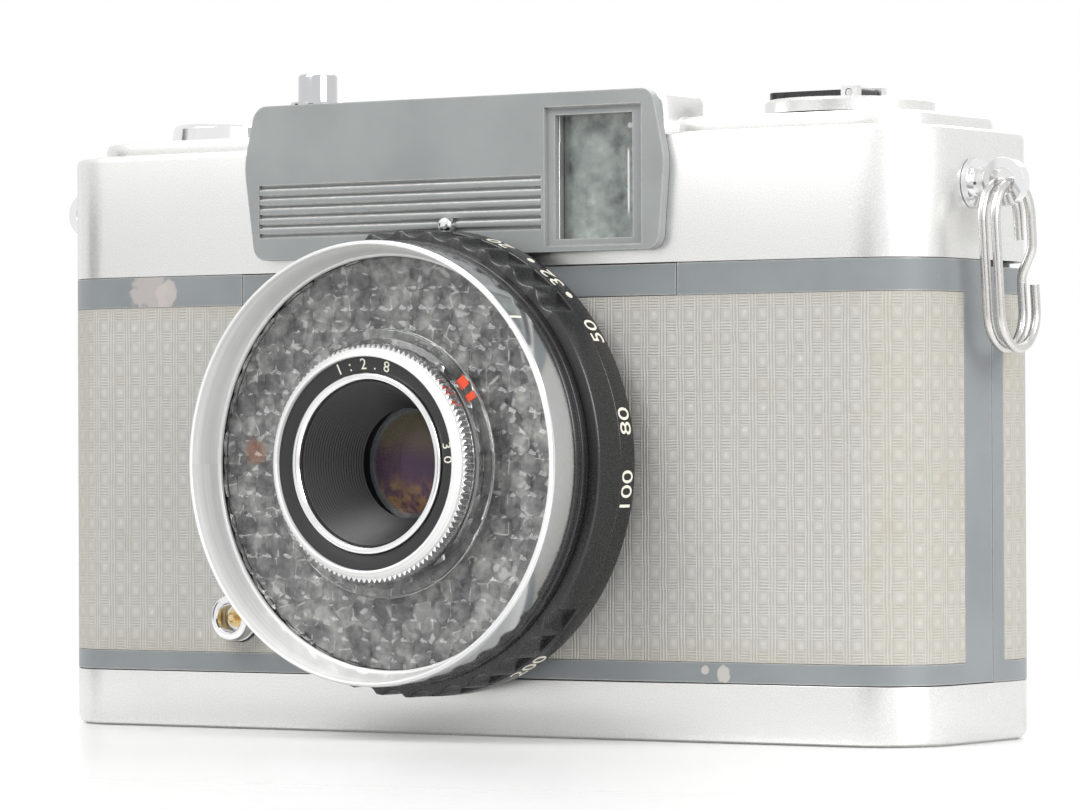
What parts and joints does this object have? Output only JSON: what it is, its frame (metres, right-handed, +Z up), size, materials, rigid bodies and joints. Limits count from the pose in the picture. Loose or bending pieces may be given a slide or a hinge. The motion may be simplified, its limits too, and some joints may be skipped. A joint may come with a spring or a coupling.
{
  "type": "half frame camera",
  "caption": "Compact half frame film camera with a ring of light cells round its lens, thumbwheel winding, folding rewind crank and a pull-off back.",
  "frame": {"origin": "middle of the base's underside, under the centre of the body's plan outline", "axes": "+X to the right seen from the front, -Y the way the lens looks, +Z up"},
  "size_m": [0.1186, 0.0453, 0.0694],
  "materials": {
    "grey_paint": "satin grey paint, chipped at edges",
    "satin_chrome": "satin chrome with a fine grain",
    "bright_chrome": "polished chrome",
    "black_metal": "satin black",
    "leatherette": "light grey woven-pattern leatherette",
    "clear_glass": "polished",
    "clear_plastic": "clear moulded",
    "lens_glass": "coated, amber reflection",
    "light_cell": "dark selenium layer",
    "brass": "machined",
    "steel": "plated",
    "black_plastic": "moulded",
    "white_dial": "printed"
  },
  "bodies": {
    "body": {"body_casting": "grey_paint", "front_plate": "grey_paint", "leatherette_left": "leatherette", "leatherette_right": "leatherette", "flash_socket": "bright_chrome", "flash_contact": "brass", "top_cover": "satin_chrome", "finder_hood": "grey_paint", "finder_window": "clear_glass", "finder_tube": "black_plastic", "eyepiece_frame": "black_plastic", "eyepiece_lens": "clear_glass", "index_pin": "bright_chrome", "button_collar": "bright_chrome", "counter_bezel": "satin_chrome", "counter_window": "clear_plastic", "wind_bridge": "brass", "lens_mount": "black_metal", "cell_housing": "black_metal", "light_cell": "light_cell", "lenslet_window": "clear_plastic", "front_ring": "bright_chrome", "lens_barrel": "black_metal", "middle_lens": "lens_glass", "shutter_case": "black_metal", "shutter_cover": "steel", "rear_cell": "black_metal", "rear_lens": "lens_glass", "strap_lug_left": "bright_chrome", "strap_lug_right": "bright_chrome"},
    "back": {"base_plate": "satin_chrome", "back_shell": "grey_paint", "leatherette_back": "leatherette", "pressure_plate": "black_metal", "pressure_spring": "steel", "tripod_bush": "brass"},
    "lock": {"lock_key": "satin_chrome"},
    "handle": {"lock_handle": "satin_chrome"},
    "button": {"shutter_button": "bright_chrome"},
    "left_blade": {"blade_left": "black_metal"},
    "right_blade": {"blade_right": "black_metal"},
    "wheel": {"wind_wheel": "satin_chrome"},
    "spool": {"take_up_spool": "black_plastic"},
    "idler": {"idler_gear": "brass"},
    "sprocket": {"film_sprocket": "steel"},
    "counter": {"counter_dial": "white_dial"},
    "rewind": {"rewind_knob": "satin_chrome", "crank_pin": "steel"},
    "crank": {"rewind_crank": "black_metal"},
    "focus": {"focus_ring": "bright_chrome", "clear_skirt": "clear_plastic", "face_ring": "black_metal", "trim_ring": "bright_chrome", "light_baffle": "black_metal", "front_lens": "lens_glass"},
    "scale": {"scale_ring": "black_metal"},
    "clip": {"strap_clip": "steel"},
    "release": {"release_button": "steel"}
  },
  "joints": [
    {"name": "back_slide", "type": "slide", "parent": "body", "child": "back", "axis": [0, 0, -1], "range_m": [0, 0.075]},
    {"name": "lock_turn", "type": "hinge", "parent": "back", "child": "lock", "pos_m": [-0.038, 0.0001, 0.002], "axis": [0, 0, 1], "range_deg": [0, 90]},
    {"name": "handle_fold", "type": "hinge", "parent": "lock", "child": "handle", "pos_m": [-0.038, 0.0001, 0.00062], "axis": [-1, 0, 0], "range_deg": [0, 90]},
    {"name": "button_press", "type": "slide", "parent": "body", "child": "button", "axis": [0, 0, -1], "range_m": [0, 0.0018], "stiffness_N_per_m": 400, "springref_m": -0.002},
    {"name": "left_blade_turn", "type": "hinge", "parent": "body", "child": "left_blade", "pos_m": [-0.0095, -0.0107, 0.03825], "axis": [0, 1, 0], "range_deg": [0, 45]},
    {"name": "right_blade_turn", "type": "hinge", "parent": "body", "child": "right_blade", "pos_m": [0.0085, -0.01, 0.03825], "axis": [0, -1, 0], "range_deg": [0, 45]},
    {"name": "wind", "type": "hinge", "parent": "body", "child": "wheel", "pos_m": [-0.033, 0.0032, 0.052], "axis": [0, 0, 1], "continuous": true},
    {"name": "take_up", "type": "hinge", "parent": "body", "child": "spool", "pos_m": [-0.038, 0.0001, 0.028], "axis": [0, 0, 1], "continuous": true},
    {"name": "idler_turn", "type": "hinge", "parent": "body", "child": "idler", "pos_m": [-0.02672, -0.00062, 0.049], "axis": [0, 0, 1], "continuous": true},
    {"name": "sprocket_turn", "type": "hinge", "parent": "body", "child": "sprocket", "pos_m": [-0.0215, 0.00455, 0.028], "axis": [0, 0, 1], "continuous": true},
    {"name": "counter_turn", "type": "hinge", "parent": "body", "child": "counter", "pos_m": [-0.041, 0.001, 0.06], "axis": [0, 0, 1], "continuous": true},
    {"name": "rewind_turn", "type": "hinge", "parent": "body", "child": "rewind", "pos_m": [0.038, 0.0001, 0.063], "axis": [0, 0, 1], "continuous": true},
    {"name": "crank_fold", "type": "hinge", "parent": "rewind", "child": "crank", "pos_m": [0.0396, 0.0001, 0.06445], "axis": [0, 1, 0], "range_deg": [0, 175]},
    {"name": "focus_turn", "type": "hinge", "parent": "body", "child": "focus", "pos_m": [-0.0005, -0.028, 0.02775], "axis": [0, -1, 0], "range_deg": [-60, 60]},
    {"name": "scale_turn", "type": "hinge", "parent": "body", "child": "scale", "pos_m": [-0.0005, -0.02, 0.02775], "axis": [0, -1, 0], "range_deg": [-70, 60]},
    {"name": "clip_swing", "type": "hinge", "parent": "body", "child": "clip", "pos_m": [0.05685, -0.0023, 0.055], "axis": [0, -1, 0], "range_deg": [0, 100]},
    {"name": "release_press", "type": "slide", "parent": "body", "child": "release", "axis": [0, 0, 1], "range_m": [0, 0.001], "stiffness_N_per_m": 300, "springref_m": -0.001}
  ],
  "couplings": [
    {"joint": "take_up", "follows": "wind", "ratio": -1},
    {"joint": "idler_turn", "follows": "wind", "ratio": -0.66667},
    {"joint": "sprocket_turn", "follows": "wind", "ratio": 1},
    {"joint": "counter_turn", "follows": "wind", "ratio": 0.025},
    {"joint": "left_blade_turn", "follows": "button_press", "rad_per_m": 436},
    {"joint": "right_blade_turn", "follows": "button_press", "rad_per_m": 436}
  ]
}
